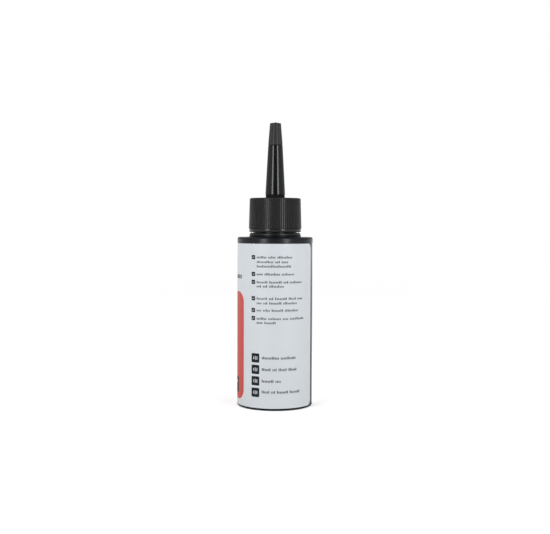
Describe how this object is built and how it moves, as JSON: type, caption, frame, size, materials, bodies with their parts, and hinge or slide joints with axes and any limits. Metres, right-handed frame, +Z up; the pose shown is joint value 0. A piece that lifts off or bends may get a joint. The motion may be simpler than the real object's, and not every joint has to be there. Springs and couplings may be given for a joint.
{
  "type": "chain lube bottle",
  "caption": "Small round black squeeze bottle with a pale wrap label, ribbed screw cap, long tapered nozzle and pull-off ribbed tip cap.",
  "frame": {"origin": "centre of the bottle's foot, on the surface that it stands on", "axes": "+Z up along the bottle's axis to the tip of the nozzle, -Y towards the side of the label that carries the small print"},
  "size_m": [0.041, 0.041, 0.1537],
  "materials": {
    "bottle": "gloss",
    "label": "satin",
    "band": "satin",
    "cap": "satin",
    "nozzle": "gloss",
    "tip": "matte"
  },
  "bodies": {
    "bottle": {"bottle": "bottle", "label": "label", "tamper_band": "band"},
    "nozzle": {"nozzle": "nozzle"},
    "screw_cap": {"screw_cap": "cap"},
    "tip_cap": {"tip_cap": "tip"}
  },
  "joints": [
    {"name": "nozzle_lift", "type": "slide", "parent": "bottle", "child": "nozzle", "axis": [0, 0, 1], "range_m": [0, 0.00477]},
    {"name": "cap_turn", "type": "hinge", "parent": "nozzle", "child": "screw_cap", "pos_m": [0, 0, 0.1035], "axis": [0, 0, 1], "range_deg": [0, 540]},
    {"name": "tip_pull", "type": "slide", "parent": "nozzle", "child": "tip_cap", "axis": [0, 0, 1], "range_m": [0, 0.014]}
  ],
  "couplings": [
    {"joint": "nozzle_lift", "follows": "cap_turn", "m_per_rad": 0.00050532}
  ]
}
